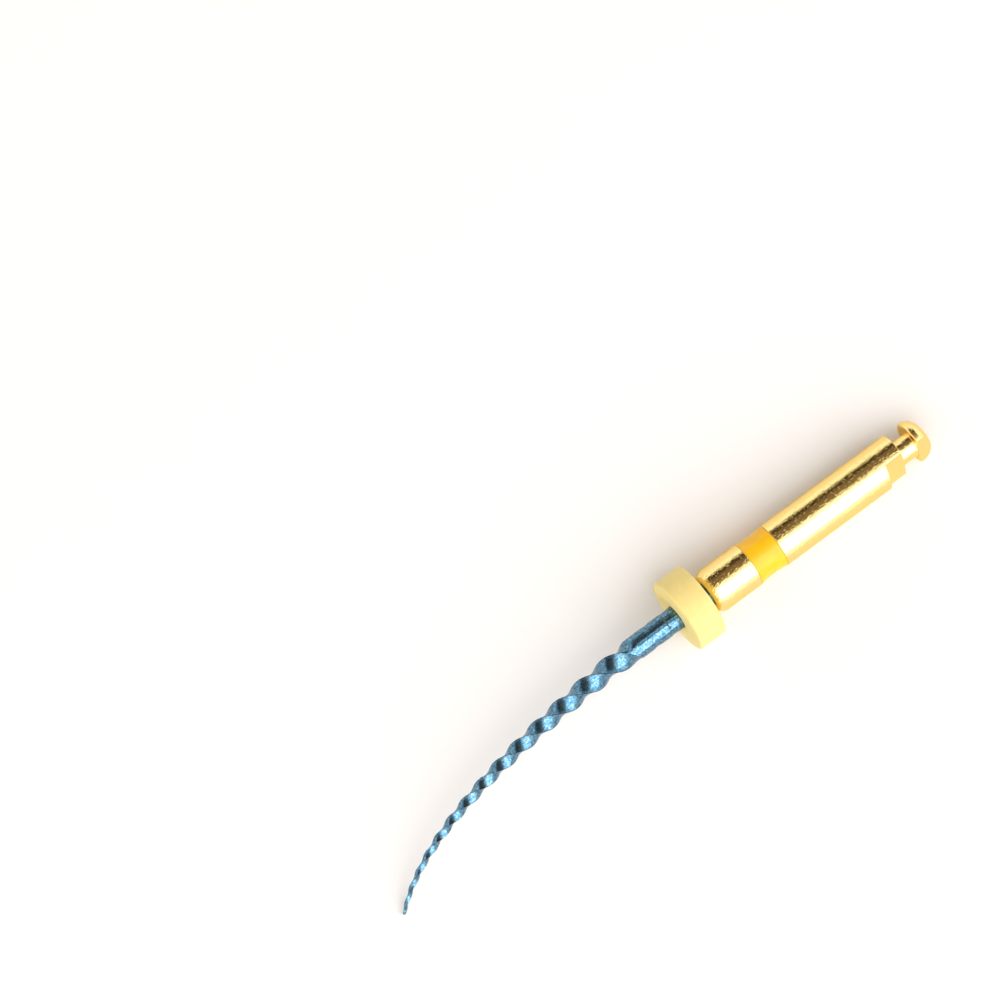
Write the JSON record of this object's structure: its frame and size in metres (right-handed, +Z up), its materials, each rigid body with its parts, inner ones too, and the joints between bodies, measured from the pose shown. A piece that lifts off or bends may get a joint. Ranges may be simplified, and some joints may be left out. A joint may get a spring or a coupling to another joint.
{
  "type": "rotary endodontic file",
  "caption": "Rotary endodontic file: gold-plated latch handle with a yellow band, sliding pale yellow silicone stop and a blue, fluted, curved nickel-titanium blade.",
  "frame": {"origin": "middle of the bounding box, on the flat surface that the file lies on", "axes": "+X from the tip towards the latch, along the plan of the handle's axis; +Z up from the surface; the blade bends towards -Y and down"},
  "size_m": [0.0344, 0.0054, 0.004],
  "materials": {
    "gold_plating": "polished gold-plated brass with very fine turning and tumbling scratches",
    "yellow_enamel": "glossy saturated yellow enamel",
    "blue_niti": "heat-treated nickel-titanium with a blue oxide, polished shaft, fine ground flutes",
    "pale_silicone": "matte pale yellow silicone",
    "black_silicone": "matte black silicone"
  },
  "bodies": {
    "instrument": {"handle": "gold_plating", "color_band": "yellow_enamel", "file_blade": "blue_niti"},
    "stop": {"silicone_stop": "pale_silicone", "stop_index_mark": "black_silicone"}
  },
  "joints": [
    {"name": "stop_slide", "type": "slide", "parent": "instrument", "child": "stop", "axis": [-0.9982, 0, 0.0592], "range_m": [-0.00025, 0.0037]}
  ]
}
